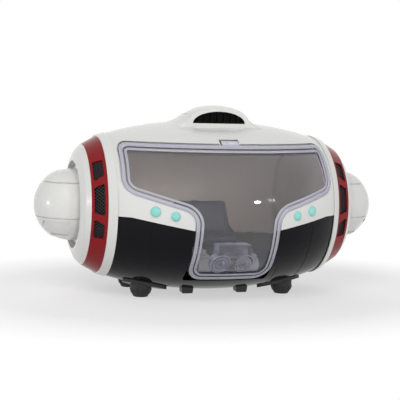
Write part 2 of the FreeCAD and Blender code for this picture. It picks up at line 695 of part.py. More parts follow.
SEAT_SIDE = [("sizes.seat_front", "0"), ("sizes.seat_front - 1", "sizes.seat_pad_height"),
             ("10", "sizes.seat_pad_height - 2.5"), ("19", "sizes.seat_back_height"),
             ("26", "sizes.seat_back_height"), ("22", "0")]
seat = doc.addObject("PartDesign::Body", "seat")
seat_side = held_outline(seat, "seat_side", "YZ_Plane", SEAT_SIDE)
seat_pad = seat.newObject("PartDesign::Pad", "seat_pad")
seat_pad.Profile = seat_side
seat_pad.Midplane = True
seat_pad.setExpression("Length", "2 * sizes.seat_half_width")
doc.recompute()
seat_edges = [f"Edge{index}" for index, edge in enumerate(seat_pad.Shape.Edges, start=1)
              if min(vertex.Point.z for vertex in edge.Vertexes) > 1]
softened(seat, "seat_soft", seat_pad, seat_edges, "sizes.seat_round")
seat.Placement.Base = FreeCAD.Vector(0, 0, value("axis_height + floor_top_rise"))
piece(seat, "seat")


# Hinge: white arms that reach forward from the floor, a steel pin, and a clear bracket screwed inside the tongue
pivot = ("sizes.pivot_place", "sizes.pivot_rise")
arm_span = ("sizes.support_start", "sizes.support_end")
support_form = fuse(
    "support_form",
    rod("support_eye", (1, 0, 0), "sizes.support_eye_radius", "sizes.support_end - sizes.support_start",
        ("sizes.support_start", *pivot)),
    block("support_arm", arm_span, (pivot[0], "sizes.floor_front"), ("sizes.pivot_rise + 1", "sizes.floor_top_rise")),
    block("support_foot", arm_span, ("sizes.floor_front - 4", "sizes.floor_front + 12"),
          ("sizes.floor_top_rise - 1", "sizes.floor_top_rise + 2.5")))
support = cut("hinge_support", support_form,
              rod("support_bore", (1, 0, 0), "sizes.pin_radius", "sizes.support_end", ("0", *pivot)),
              block("support_relief", ("0", "sizes.support_end + 1"), ("sizes.floor_front", "0"), floor_span))
piece(support, "hinge_support_right")
piece(mirrored("hinge_support_mirrored", support, ACROSS), "hinge_support_left")
pin = rod("pin", (1, 0, 0), "sizes.pin_radius", "2 * sizes.support_end", ("-sizes.support_end", *pivot))
piece(pin, "hinge_pin")

knuckle = rod("knuckle", (1, 0, 0), "sizes.knuckle_radius", "2 * sizes.hinge_block_half",
              ("-sizes.hinge_block_half", *pivot))
boss_length = "sizes.hinge_boss_front - sizes.hinge_boss_back"
bosses = [rod(f"hinge_boss_{side}", (0, 1, 0), "sizes.hinge_boss_radius", boss_length,
              (f"sizes.hinge_boss_place * {sign}", "sizes.pivot_place - sizes.hinge_boss_front",
               "sizes.pivot_rise + sizes.hinge_boss_lift"))
          for side, sign in (("left", -1), ("right", 1))]
upper_block = block("hinge_upper_block", ("-sizes.hinge_block_half", "sizes.hinge_block_half"),
                    ("sizes.pivot_place - sizes.hinge_boss_front", "sizes.pivot_place - sizes.hinge_block_back"),
                    ("sizes.pivot_rise + sizes.hinge_block_low", "sizes.pivot_rise + sizes.hinge_block_high"))
web = block("hinge_web", ("-sizes.hinge_web_half", "sizes.hinge_web_half"),
            ("sizes.pivot_place - sizes.hinge_boss_front", "sizes.pivot_place"),
            ("sizes.pivot_rise", "sizes.pivot_rise + sizes.hinge_block_low + 1"))
bracket_bore = rod("bracket_bore", (1, 0, 0), "sizes.pin_radius + sizes.pin_clearance",
                   "2 * sizes.hinge_block_half + 2", ("-sizes.hinge_block_half - 1", *pivot))
bracket_form = fuse("bracket_form", knuckle, upper_block, web, *bosses)
piece(cut("bracket", common("bracket_inside", bracket_form, canopy_inside), bracket_bore), "hinge_bracket")


# Latch: a tab on the canopy's top edge that fits a notch in the roof edge
latch_depth = ("-sizes.hull_half_depth", "sizes.scoop_mouth_place - sizes.dish_length")
latch_low = "sizes.window_top_rise - sizes.latch_overlap"
latch_high = "sizes.window_top_rise + sizes.latch_height"
latch_reach = block("latch_reach", ("-sizes.latch_half_width", "sizes.latch_half_width"), latch_depth,
                    (latch_low, latch_high))
latch_tab = common("latch_tab", cut("latch_wall", bead_skin, canopy_inside), latch_reach)
notch_half = "sizes.latch_half_width + sizes.door_gap"
notch_reach = block("notch_reach", (f"-({notch_half})", notch_half), latch_depth,
                    (latch_low, f"{latch_high} + sizes.door_gap"))
notch_cut = cut("notch_cut", notch_reach, seat_skin)
piece(fuse("canopy_whole", canopy, latch_tab), "canopy")
piece(cut("upper_shell_whole", upper_shell, notch_cut, dish_cut, *lamp_holes), "upper_shell")
piece(lower_hull, "lower_hull")


# Feet: leaf-shaped brackets on the belly, each with a tapered rubber pad, and four small keel pads between them
leaf_skin = hull_form("leaf_skin", "-sizes.foot_plate")
PAD_PROFILE = [
    ("0", "0"),
    ("sizes.foot_pad_height", "0"),
    ("sizes.foot_pad_height", "sizes.foot_radius"),
    ("sizes.foot_pad_height / 2", "sizes.foot_radius"),
    ("sizes.foot_waist_height", "sizes.foot_radius - 0.9"),
    ("0", "sizes.foot_sole_radius"),
]


def foot_bracket():
    """Leaf-shaped plate that hugs the belly."""
    leaf = bind(doc.addObject("Part::Ellipse", "leaf"), {
        "MajorRadius": "sizes.leaf_half_length", "MinorRadius": "sizes.leaf_half_width",
        "Placement.Base.x": "sizes.foot_place_x - sizes.leaf_shift", "Placement.Base.y": "sizes.foot_place_y"})
    leaf_prism = doc.addObject("Part::Extrusion", "leaf_prism")
    leaf_prism.Base = leaf
    leaf_prism.DirMode = "Custom"
    leaf_prism.Dir = FreeCAD.Vector(0, 0, 1)
    leaf_prism.Solid = True
    leaf_prism.setExpression("LengthFwd", "sizes.axis_height / 2")
    return cut("leaf_plate", common("leaf_form", leaf_prism, leaf_skin), outer_skin)


def foot_pad():
    """Tapered rubber pad whose top is shaped to the plate above it."""
    pad = doc.addObject("PartDesign::Body", "pad")
    turned(pad, held_outline(pad, "pad_profile", "XZ_Plane", PAD_PROFILE), "pad_turned")
    pad.Placement = FreeCAD.Placement(
        FreeCAD.Vector(value("foot_place_x"), value("foot_place_y"), 0),
        FreeCAD.Rotation(FreeCAD.Vector(0, 1, 0), -90))
    return cut("pad_shaped", pad, leaf_skin)


def keel_pad():
    """Small tapered block under the belly that stops short of the ground."""
    root_rise = value("keel_root_rise")
    pad_rise = value("keel_pad_rise")
    outline = doc.addObject("Part::Feature", "keel_outline")
    outline.Shape = rounded_wire([
        (value("keel_half_root"), root_rise, 0.5), (value("keel_half_length"), pad_rise, 0.8),
        (-value("keel_half_length"), pad_rise, 0.8), (-value("keel_half_root"), root_rise, 0.5)])
    outline.Placement = FreeCAD.Placement(
        FreeCAD.Vector(value("keel_place_x"), value("keel_place_y"), value("axis_height")), FreeCAD.Rotation())
    prism = doc.addObject("Part::Extrusion", "keel_prism")
    prism.Base = outline
    prism.DirMode = "Custom"
    prism.Dir = FreeCAD.Vector(0, -1, 0)
    prism.Solid = True
    bind(prism, {"LengthFwd": "sizes.keel_half_depth", "LengthRev": "sizes.keel_half_depth"})
    return cut("keel_block", prism, outer_skin)


for label, item in (("foot_bracket", foot_bracket()), ("foot_pad", foot_pad()), ("keel_pad", keel_pad())):
    front = mirrored(f"{label}_front", item, FRONT_TO_BACK)
    piece(item, f"{label}_rear_right")
    piece(front, f"{label}_front_right")
    piece(mirrored(f"{label}_rear_mirrored", item, ACROSS), f"{label}_rear_left")
    piece(mirrored(f"{label}_front_mirrored", front, ACROSS), f"{label}_front_left")


doc.recompute()
for item in doc.Objects:
    if "Invalid" in item.State or "Error" in item.State:
        raise RuntimeError(f"{item.Label}: {item.State}")
for item in pieces:
    if item.Shape.isNull() or not item.Shape.isValid() or len(item.Shape.Solids) != 1:
        raise RuntimeError(f"{item.Label}: not one good solid, {len(item.Shape.Solids)}")

os.makedirs("parts", exist_ok=True)
for item in pieces:
    item.Shape.exportStep(f"parts/{item.Label}.step")
    print(item.Label, round(item.Shape.Volume), item.Shape.BoundBox)
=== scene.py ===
import math
import bmesh
import bpy
from mathutils import Matrix, Vector


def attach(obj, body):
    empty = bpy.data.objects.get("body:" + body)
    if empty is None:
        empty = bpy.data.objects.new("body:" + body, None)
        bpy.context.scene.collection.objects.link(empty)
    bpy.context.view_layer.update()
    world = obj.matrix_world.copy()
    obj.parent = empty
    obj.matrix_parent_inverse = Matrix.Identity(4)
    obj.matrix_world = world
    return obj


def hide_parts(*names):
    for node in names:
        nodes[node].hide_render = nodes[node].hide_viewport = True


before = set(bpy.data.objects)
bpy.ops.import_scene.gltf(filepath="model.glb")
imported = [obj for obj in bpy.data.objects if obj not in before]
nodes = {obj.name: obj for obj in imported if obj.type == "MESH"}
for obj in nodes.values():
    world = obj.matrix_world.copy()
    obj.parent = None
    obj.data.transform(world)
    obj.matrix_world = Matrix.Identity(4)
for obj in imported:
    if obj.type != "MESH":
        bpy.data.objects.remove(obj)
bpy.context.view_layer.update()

# Studio: a plain pale table top in white surroundings, lit by two large soft panels and a weaker rim panel,
# as for a catalogue picture. The panels give no reflection of their own; two small lamps do, and make the
# bright dots on the domes, lenses and canopy.
TABLE_SIZE = 3.0
TABLE_COLOUR = (0.86, 0.86, 0.86, 1.0)
TABLE_GRAIN = 1.02
SHADOW_REACH = (3.6, 5.0, 1.0)
SHADOW_FADE = 0.35
SHADOW_WHITENING = 0.55
SKY_STRENGTH = 0.36


def new_material(name):
    """Material with an empty principled shader; returns the material, its node tree and that shader."""
    material = bpy.data.materials.new(name)
    material.use_nodes = True
    tree = material.node_tree
    return material, tree, tree.nodes["Principled BSDF"]


def seen_white(tree):
    """One for rays from the camera, from gloss and through clear plastic, and nought for the light itself."""
    path = tree.nodes.new("ShaderNodeLightPath")
    either = tree.nodes.new("ShaderNodeMath")
    either.operation = "MAXIMUM"
    any_of = tree.nodes.new("ShaderNodeMath")
    any_of.operation = "MAXIMUM"
    tree.links.new(path.outputs["Is Camera Ray"], either.inputs[0])
    tree.links.new(path.outputs["Is Glossy Ray"], either.inputs[1])
    tree.links.new(either.outputs[0], any_of.inputs[0])
    tree.links.new(path.outputs["Is Transmission Ray"], any_of.inputs[1])
    return any_of.outputs[0]


world = bpy.data.worlds.new("studio")
bpy.context.scene.world = world
world.use_nodes = True
sky = world.node_tree
sky_light = sky.nodes["Background"]
sky_light.inputs["Color"].default_value = (1.0, 1.0, 1.0, 1.0)
sky_light.inputs["Strength"].default_value = SKY_STRENGTH
sky_white = sky.nodes.new("ShaderNodeBackground")
sky_white.inputs["Color"].default_value = (1.0, 1.0, 1.0, 1.0)
sky_white.inputs["Strength"].default_value = 1.0
sky_mix = sky.nodes.new("ShaderNodeMixShader")
sky.links.new(seen_white(sky), sky_mix.inputs[0])
sky.links.new(sky_light.outputs[0], sky_mix.inputs[1])
sky.links.new(sky_white.outputs[0], sky_mix.inputs[2])
sky.links.new(sky_mix.outputs[0], sky.nodes["World Output"].inputs["Surface"])

bpy.ops.mesh.primitive_plane_add(size=TABLE_SIZE)
table = bpy.context.object
table.name = "table_top"
table_paint, tree, paint = new_material("table_paint")
paint.inputs["Roughness"].default_value = 0.9
paint.inputs["Specular IOR Level"].default_value = 0.1
grain = tree.nodes.new("ShaderNodeTexNoise")
grain.inputs["Scale"].default_value = 40.0
grain_ramp = tree.nodes.new("ShaderNodeValToRGB")
grain_ramp.color_ramp.elements[0].color = TABLE_COLOUR
grain_ramp.color_ramp.elements[1].color = (*(part * TABLE_GRAIN for part in TABLE_COLOUR[:3]), 1.0)
tree.links.new(grain.outputs["Fac"], grain_ramp.inputs["Fac"])
tree.links.new(grain_ramp.outputs["Color"], paint.inputs["Base Color"])
# Painted light: seen by the camera and in reflections, the table is mixed with a white glow that fills its
# real shadow. The glow is whole far from the pod and falls to SHADOW_WHITENING of the mix near it, so some
# shadow is left there.
painted_light_glow = tree.nodes.new("ShaderNodeEmission")
painted_light_glow.inputs["Strength"].default_value = 1.0
table_mix = tree.nodes.new("ShaderNodeMixShader")
spread = tree.nodes.new("ShaderNodeTexGradient")
spread.gradient_type = "SPHERICAL"
place = tree.nodes.new("ShaderNodeTexCoord")
reach = tree.nodes.new("ShaderNodeMapping")
reach.inputs["Scale"].default_value = SHADOW_REACH
near = tree.nodes.new("ShaderNodeMapRange")
near.inputs["From Min"].default_value = 0.0
near.inputs["From Max"].default_value = SHADOW_FADE
near.inputs["To Min"].default_value = 1.0
near.inputs["To Max"].default_value = SHADOW_WHITENING
both = tree.nodes.new("ShaderNodeMath")
both.operation = "MULTIPLY"
tree.links.new(place.outputs["Object"], reach.inputs["Vector"])
tree.links.new(reach.outputs["Vector"], spread.inputs["Vector"])
tree.links.new(spread.outputs["Fac"], near.inputs["Value"])
tree.links.new(near.outputs["Result"], both.inputs[0])
tree.links.new(seen_white(tree), both.inputs[1])
tree.links.new(both.outputs[0], table_mix.inputs[0])
tree.links.new(paint.outputs[0], table_mix.inputs[1])
tree.links.new(painted_light_glow.outputs[0], table_mix.inputs[2])
tree.links.new(table_mix.outputs[0], tree.nodes["Material Output"].inputs["Surface"])
table.data.materials.append(table_paint)

POD_MIDDLE = Vector((0.0, 0.0, 0.072))
# Each panel's place, width, power, and whether its reflection shows.
LAMP_PANELS = [
    ("key_panel", (-0.5, -0.8, 0.9), 0.7, 5.4, False),
    ("front_panel", (0.05, -1.2, 0.25), 0.5, 2.2, False),
    ("rim_panel", (0.2, 0.9, 0.9), 0.6, 2.4, False),
    ("spark_lamp", (0.60, -1.1, 0.42), 0.1, 1.6, True),
    ("side_spark_lamp", (-1.2, -0.1, 0.14), 0.12, 0.9, True),
]
for name, spot, width, power, mirrored in LAMP_PANELS:
    panel = bpy.data.lights.new(name, "AREA")
    panel.shape = "DISK"
    panel.size = width
    panel.energy = power
    holder = bpy.data.objects.new(name, panel)
    holder.location = spot
    holder.visible_glossy = mirrored
    holder.visible_transmission = mirrored
    holder.rotation_euler = (POD_MIDDLE - Vector(spot)).to_track_quat("-Z", "Y").to_euler()
    bpy.context.scene.collection.objects.link(holder)

# Camera: low and a little to the pod's left, with the pod filling most of the width.
# It is tipped a little, so that the two domes stand level although the pod is turned.
CAMERA_AZIMUTH = math.radians(-16.5)
CAMERA_ELEVATION = math.radians(6.0)
CAMERA_ROLL = math.radians(1.7)
CAMERA_DISTANCE = 0.96
CAMERA_LENS_MM = 106.0
CAMERA_SENSOR_MM = 36.0
AIM_SIDEWAYS = -0.0056
AIM_HEIGHT = 0.0735
back = Vector((math.sin(CAMERA_AZIMUTH) * math.cos(CAMERA_ELEVATION),
               -math.cos(CAMERA_AZIMUTH) * math.cos(CAMERA_ELEVATION), math.sin(CAMERA_ELEVATION)))
right = Vector((math.cos(CAMERA_AZIMUTH), math.sin(CAMERA_AZIMUTH), 0.0))
aim = right * AIM_SIDEWAYS + Vector((0.0, 0.0, AIM_HEIGHT))
camera_data = bpy.data.cameras.new("camera")
camera_data.lens = CAMERA_LENS_MM
camera_data.sensor_width = CAMERA_SENSOR_MM
camera = bpy.data.objects.new("camera", camera_data)
camera.location = aim + back * CAMERA_DISTANCE
level = back.to_track_quat("Z", "Y").to_matrix()
camera.rotation_euler = (level @ Matrix.Rotation(CAMERA_ROLL, 3, "Z")).to_euler()
bpy.context.scene.collection.objects.link(camera)
bpy.context.scene.camera = camera
bpy.context.scene.view_settings.view_transform = "Standard"


# White mouldings: upper shell, end caps, domes and scoop, injection-moulded in glossy warm white, and the two
# duller hinge arms, whose white is painted grey as painted shade for the shade they sit in under the canopy.
# The gloss is a little uneven, as moulded skin is, with fine flow texture.
SHELL_WHITE = (0.74, 0.737, 0.715)
# Painted shade: the hinge arms' white is darkened to grey for the shade under the canopy.
ARM_PAINTED_SHADE = (0.30, 0.29, 0.28)


def moulded_plastic(name, colour, roughness, mottle=0.02, gloss_spread=0.05, ripple=0.02, coat=0.0,
                    shine=0.5):
    """Moulded plastic: faint colour mottle, uneven gloss and a fine ripple in the skin."""
    material, tree, shader = new_material(name)
    coords = tree.nodes.new("ShaderNodeTexCoord")
    cloud = tree.nodes.new("ShaderNodeTexNoise")
    cloud.inputs["Scale"].default_value = 24.0
    cloud.inputs["Detail"].default_value = 4.0
    tint = tree.nodes.new("ShaderNodeValToRGB")
    tint.color_ramp.elements[0].color = (*(part * (1 - mottle) for part in colour), 1.0)
    tint.color_ramp.elements[1].color = (*(part * (1 + mottle) for part in colour), 1.0)
    gloss = tree.nodes.new("ShaderNodeMapRange")
    gloss.inputs["To Min"].default_value = max(roughness - gloss_spread, 0.0)
    gloss.inputs["To Max"].default_value = roughness + gloss_spread
    skin = tree.nodes.new("ShaderNodeTexNoise")
    skin.inputs["Scale"].default_value = 900.0
    skin.inputs["Detail"].default_value = 2.0
    bump = tree.nodes.new("ShaderNodeBump")
    bump.inputs["Strength"].default_value = ripple
    bump.inputs["Distance"].default_value = 0.0002
    for texture in (cloud, skin):
        tree.links.new(coords.outputs["Object"], texture.inputs["Vector"])
    tree.links.new(cloud.outputs["Fac"], tint.inputs["Fac"])
    tree.links.new(tint.outputs["Color"], shader.inputs["Base Color"])
    tree.links.new(cloud.outputs["Fac"], gloss.inputs["Value"])
    tree.links.new(gloss.outputs["Result"], shader.inputs["Roughness"])
    tree.links.new(skin.outputs["Fac"], bump.inputs["Height"])
    tree.links.new(bump.outputs["Normal"], shader.inputs["Normal"])
    shader.inputs["Specular IOR Level"].default_value = shine
    shader.inputs["Coat Weight"].default_value = coat
    shader.inputs["Coat Roughness"].default_value = 0.08
    return material


def finish_node(node, material):
    """Give a CAD node its finish."""
    nodes[node].data.materials.clear()
    nodes[node].data.materials.append(material)


shell_white = moulded_plastic("shell_white", SHELL_WHITE, 0.24, coat=0.35)
arm_painted_shade = moulded_plastic("arm_painted_shade", ARM_PAINTED_SHADE, 0.4)
finish_node("upper_shell", shell_white)
finish_node("roof_scoop", shell_white)
for side in ("left", "right"):
    finish_node(f"end_cap_{side}", shell_white)
    finish_node(f"side_dome_{side}", shell_white)
    finish_node(f"hinge_support_{side}", arm_painted_shade)

# Cabin lining: a pale cream moulded skin inside both shells, from the floor up the back wall and over the
# roof. Slightly bowed bulkheads close its two ends. It is glued in, so it rides with the pod.
CABIN_CREAM = (0.78, 0.70, 0.60)
HULL_AXIS = 0.0705
HULL_HALF_DEPTH = 0.089
HULL_DEPTH_REACH = 0.117
HULL_HALF_HEIGHT = 0.068
HULL_HEIGHT_REACH = 0.153
FLOOR_TOP = 0.0375
ROOF_EDGE = 0.0535
STEEPEST_START = 0.98
LINING_INSET = 0.0036
LINING_WALL = 0.0005
LINING_END = 0.082
LINING_FLOOR_GAP = 0.0004
LINING_COLUMNS = 32
LINING_STEPS = 40


def hull_radii(x, inset):
    """Half depth and half height of the barrel at a place along it, in metres."""
    depth = HULL_HALF_DEPTH * math.sqrt(1 - (x / HULL_DEPTH_REACH) ** 2) - inset
    height = HULL_HALF_HEIGHT * math.sqrt(1 - (x / HULL_HEIGHT_REACH) ** 2) - inset
    return depth, height


def hull_point(x, angle, inset):
    """Point of the barrel's skin; the angle runs from the front, over the roof, to the back."""
    depth, height = hull_radii(x, inset)
    return Vector((x, -depth * math.cos(angle), HULL_AXIS + height * math.sin(angle)))


def place_mesh(name, mesh, material, body):
    """Make a smooth piece of a mesh; it rides a body and takes a material slot."""
    for face in mesh.polygons:
        face.use_smooth = True
    mesh.materials.clear()
    mesh.materials.append(material)
    made = bpy.data.objects.new(name, mesh)
    bpy.context.scene.collection.objects.link(made)
    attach(made, body)
    return made


def mesh_piece(name, shape, material, body):
    """Turn a bmesh into a piece, with all its faces turned outwards."""
    bmesh.ops.recalc_face_normals(shape, faces=shape.faces)
    mesh = bpy.data.meshes.new(name)
    shape.to_mesh(mesh)
    shape.free()
    return place_mesh(name, mesh, material, body)


def lining_angles(x):
    """Start at the roof edge over the window, go over the roof and down the back to the floor."""
    height = hull_radii(x, LINING_INSET)[1]
    start = math.asin(min(ROOF_EDGE / height, STEEPEST_START))
    stop = math.pi + math.asin((HULL_AXIS - FLOOR_TOP - LINING_FLOOR_GAP) / height)
    return [start + (stop - start) * step / LINING_STEPS for step in range(LINING_STEPS + 1)]


cabin_cream = moulded_plastic("cabin_cream", CABIN_CREAM, 0.5, mottle=0.05, shine=0.3)
lining = bmesh.new()
rows = []
for column in range(LINING_COLUMNS + 1):
    x = -LINING_END + 2 * LINING_END * column / LINING_COLUMNS
    skins = []
    for wall in (0.0, LINING_WALL):
        angles = lining_angles(x)
        skins.append([lining.verts.new(hull_point(x, angle, LINING_INSET + wall)) for angle in angles])
    rows.append(skins)
for (outer_a, inner_a), (outer_b, inner_b) in zip(rows, rows[1:]):
    for step in range(LINING_STEPS):
        lining.faces.new((outer_a[step], outer_a[step + 1], outer_b[step + 1], outer_b[step]))
        lining.faces.new((inner_a[step], inner_b[step], inner_b[step + 1], inner_a[step + 1]))
    for end in (0, LINING_STEPS):
        lining.faces.new((outer_a[end], outer_b[end], inner_b[end], inner_a[end]))
for outer, inner in (rows[0], rows[-1]):
    for step in range(LINING_STEPS):
        lining.faces.new((outer[step], inner[step], inner[step + 1], outer[step + 1]))
mesh_piece("cabin_lining", lining, cabin_cream, "pod")

# Bulkhead rings: share of the cabin's size, and how far the plate bows outwards there.
BULKHEAD_RINGS = ((1.0, 0.0), (0.97, 0.0016), (0.6, 0.0034), (0.25, 0.0042))
BULKHEAD_SIDES = 72
BULKHEAD_WALL = 0.0006
BULKHEAD_PLACE = LINING_END - 0.0022
BULKHEAD_FLOOR = FLOOR_TOP + 0.0002 - HULL_AXIS
for side, sign in (("left", -1), ("right", 1)):
    bulkhead = bmesh.new()
    depth, height = hull_radii(LINING_END, LINING_INSET + LINING_WALL)
    loops = []
    for share, bow in BULKHEAD_RINGS:
        ring = []
        for turn in range(BULKHEAD_SIDES):
            angle = turn * math.tau / BULKHEAD_SIDES
            across = -depth * share * math.cos(angle)
            up = max(height * share * math.sin(angle), BULKHEAD_FLOOR * share)
            ring.append(bulkhead.verts.new((sign * (BULKHEAD_PLACE + bow), across, HULL_AXIS + up)))
        loops.append(ring)
    for outer, inner in zip(loops, loops[1:]):
        for turn in range(BULKHEAD_SIDES):
            after = (turn + 1) % BULKHEAD_SIDES
            bulkhead.faces.new((outer[turn], outer[after], inner[after], inner[turn]))
    bulkhead.faces.new(loops[-1])
    plate = mesh_piece(f"cabin_bulkhead_{side}", bulkhead, cabin_cream, "pod")
    thick = plate.modifiers.new("wall", "SOLIDIFY")
    thick.thickness = BULKHEAD_WALL

# Scoop fairing: a smooth white skirt that spreads the hood's sides out on to the roof, one strip a side.
# It is moulded in one with the hood, so it shares its white plastic and sits a hair into both.
FAIRING_FRONT = -0.0266
FAIRING_BACK = 0.0330
FAIRING_ROWS = 20
FAIRING_STEPS = 12
FAIRING_SPREAD = 0.0145
FAIRING_TUCK = 0.0032
FAIRING_RISE = 0.0078
FAIRING_FALL = 2.2
FAIRING_FLARE = 2.1
FAIRING_EDGE_SINK = 0.0003
FAIRING_ROOT_SINK = 0.0012
HOOD_HALF_WIDTH = 0.0260
HOOD_TAPER = 0.36
HOOD_TAPER_START = 0.3


def roof_height(x, y, sunk):
    """Height of the roof skin over a point, less how far it is sunk in."""
    depth, height = hull_radii(x, sunk)
    return HULL_AXIS + height * math.sqrt(1 - (y / depth) ** 2)


for side, sign in (("left", -1), ("right", 1)):
    skirt = bmesh.new()
    rows = []
    for row in range(FAIRING_ROWS + 1):
        share = row / FAIRING_ROWS
        y = FAIRING_FRONT + (FAIRING_BACK - FAIRING_FRONT) * share
        hood_scale = 1.0 - HOOD_TAPER * max(0.0, share - HOOD_TAPER_START) ** 1.5
        inner_x = (HOOD_HALF_WIDTH - FAIRING_TUCK) * hood_scale
        outer_x = (HOOD_HALF_WIDTH + FAIRING_SPREAD) * hood_scale
        rise = FAIRING_RISE * (1 - share ** FAIRING_FALL)
        curve = []
        for step in range(FAIRING_STEPS + 1):
            out = step / FAIRING_STEPS
            x = inner_x + (outer_x - inner_x) * out
            lift = rise * (1 - out) ** FAIRING_FLARE
            curve.append(skirt.verts.new((sign * x, y, roof_height(x, y, FAIRING_EDGE_SINK) + lift)))
        for x in (outer_x, inner_x):
            curve.append(skirt.verts.new((sign * x, y, roof_height(x, y, FAIRING_ROOT_SINK))))
        rows.append(curve)
    for first, second in zip(rows, rows[1:]):
        for step in range(len(first)):
            after = (step + 1) % len(first)
            skirt.faces.new((first[step], first[after], second[after], second[step]))
    skirt.faces.new(rows[0])
    skirt.faces.new(rows[-1])
    mesh_piece(f"scoop_fairing_{side}", skirt, shell_white, "pod")

# Cabin floor and seat: a plain dark floor plate, and a low bucket seat in dark blue-grey plastic clipped on
# it. The seat is one moulding with raised bolsters along its sides and soft edges all round.
FLOOR_DARK = (0.025, 0.026, 0.032)
SEAT_BLUE = (0.020, 0.024, 0.042)
SEAT_COLUMNS = (-0.0220, -0.0212, -0.0185, -0.0150, -0.0075, 0.0, 0.0075, 0.0150, 0.0185, 0.0212, 0.0220)
SEAT_BOLSTER = 0.0030
BOLSTER_INNER = 0.0110
BOLSTER_RAMP = 0.0075
BOLSTER_OUTER = 0.0190
BOLSTER_EDGE = 0.75
BACKREST_START_MM = 6.0
BACKREST_RAMP_MM = 7.0
# Side outline in millimetres from the floor: how far back, how high, and how much of the bolster it carries.
SEAT_OUTLINE = (
    (-15.5, 0.2, 0.0), (-16.8, 4.0, 0.0), (-16.2, 8.0, 0.3), (-12.0, 8.6, 0.8), (-3.0, 7.6, 1.0),
    (6.0, 6.8, 1.0), (11.0, 9.0, 1.0), (13.5, 15.0, 1.0), (16.5, 24.0, 0.9), (18.8, 31.0, 0.5),
    (21.0, 33.6, 0.1), (24.5, 33.0, 0.0), (24.6, 25.0, 0.0), (23.0, 12.0, 0.0), (21.8, 0.2, 0.0),
)
floor_dark = moulded_plastic("floor_dark", FLOOR_DARK, 0.5, mottle=0.1)
seat_blue = moulded_plastic("seat_blue", SEAT_BLUE, 0.42, mottle=0.15, ripple=0.06)
finish_node("cabin_floor", floor_dark)
bucket = bmesh.new()
ribs = []
for x in SEAT_COLUMNS:
    lift = SEAT_BOLSTER * max(0.0, (abs(x) - BOLSTER_INNER) / BOLSTER_RAMP)
    if abs(x) >= BOLSTER_OUTER:
        lift = SEAT_BOLSTER * BOLSTER_EDGE
    rib = []
    for back_mm, up_mm, carry in SEAT_OUTLINE:
        slope = min(max((back_mm - BACKREST_START_MM) / BACKREST_RAMP_MM, 0.0), 1.0)
        y = back_mm / 1000 - lift * carry * slope
        z = FLOOR_TOP + up_mm / 1000 + lift * carry * (1 - slope)
        rib.append(bucket.verts.new((x, y, z)))
    ribs.append(rib)
for left_rib, right_rib in zip(ribs, ribs[1:]):
    for step in range(len(SEAT_OUTLINE)):
        after = (step + 1) % len(SEAT_OUTLINE)
        bucket.faces.new((left_rib[step], left_rib[after], right_rib[after], right_rib[step]))
bucket.faces.new(ribs[0])
bucket.faces.new(list(reversed(ribs[-1])))
seat_shell = mesh_piece("seat_shell", bucket, seat_blue, "pod")
rounding = seat_shell.modifiers.new("rounding", "SUBSURF")
rounding.levels = 2
rounding.render_levels = 2
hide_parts("seat")

# Black lower shell: one gloss-black injection moulding, open at the front for the canopy's tongue.
# It is glued to the white shell along the seam that runs round the pod.
HULL_BLACK = (0.006, 0.006, 0.008)
hull_black = moulded_plastic("hull_black", HULL_BLACK, 0.1, mottle=0.15, gloss_spread=0.03, shine=0.1)
finish_node("lower_hull", hull_black)

# Mould lines: fine raised lines round the black shell where its moulded sections meet, one near each flank
# and one each side of the tongue. They are part of the same moulding.
MOULD_LINE_RADIUS = 0.00022
MOULD_LINE_STEPS = 60
# Place along the pod, and how far below the middle the line starts, in degrees.
MOULD_LINES = ((-0.064, 8.0), (-0.0395, 40.0), (0.0395, 40.0), (0.064, 8.0))


def tube_piece(name, paths, radius, material, body, sides=6):
    """Thin round bars along lists of points, as one mesh piece."""
    curve = bpy.data.curves.new(name, "CURVE")
    curve.dimensions = "3D"
    curve.bevel_depth = radius
    curve.bevel_resolution = max(sides // 4, 1)
    curve.use_fill_caps = True
    for path, closed in paths:
        line = curve.splines.new("POLY")
        line.points.add(len(path) - 1)
        for point, place in zip(line.points, path):
            point.co = (*place, 1.0)
        line.use_cyclic_u = closed
    source = bpy.data.objects.new(f"{name}_path", curve)
    mesh = bpy.data.meshes.new_from_object(source)
    bpy.data.objects.remove(source)
    return place_mesh(name, mesh, material, body)


mould_paths = []
for x, first_degrees in MOULD_LINES:
    line = []
    for step in range(MOULD_LINE_STEPS + 1):
        degrees = first_degrees + (180 - 2 * first_degrees) * step / MOULD_LINE_STEPS
        line.append(hull_point(x, -math.radians(degrees), 0.0))
    mould_paths.append((line, False))
tube_piece("mould_lines", mould_paths, MOULD_LINE_RADIUS, hull_black, "pod")

# End rings: deep red glossy bands, moulded separately and clipped over the caps.
# Their slots open to a matt black sleeve, and the scoop's grille is the same black.
RING_RED = (0.25, 0.009, 0.013)
MESH_BLACK = (0.003, 0.003, 0.003)
ring_red = moulded_plastic("ring_red", RING_RED, 0.18, mottle=0.06, shine=0.15)
mesh_black = moulded_plastic("mesh_black", MESH_BLACK, 0.6, mottle=0.2, shine=0.08)
for side in ("left", "right"):
    finish_node(f"ring_band_{side}", ring_red)
    finish_node(f"vent_mesh_{side}", mesh_black)
finish_node("scoop_grille", mesh_black)

# Vent mesh: fine dark grey wires crossed in diamonds over the sleeve, seen only through the rings' slots.
# They are moulded with the sleeve and narrow with it towards the pod's end.
WIRE_GREY = (0.06, 0.06, 0.063)
WIRES_ROUND = 120
WIRE_LEAN = math.radians(12.0)
WIRE_START = 0.0934
WIRE_STOP = 0.1041
WIRE_STEPS = 5
WIRE_RADIUS = 0.0002
WIRE_LIFT = 0.00012
SLEEVE_START = 0.093
SLEEVE_LENGTH = 0.0115
SLEEVE_WIDE = 0.0516
SLEEVE_NARROW = 0.0451
mesh_wire = moulded_plastic("mesh_wire", WIRE_GREY, 0.35, mottle=0.2, shine=0.3)


def wire_radius(x):
    """Distance of the wires from the hull's axis, just under the red ring."""
    share = (x - SLEEVE_START) / SLEEVE_LENGTH
    return SLEEVE_WIDE + (SLEEVE_NARROW - SLEEVE_WIDE) * share + WIRE_LIFT


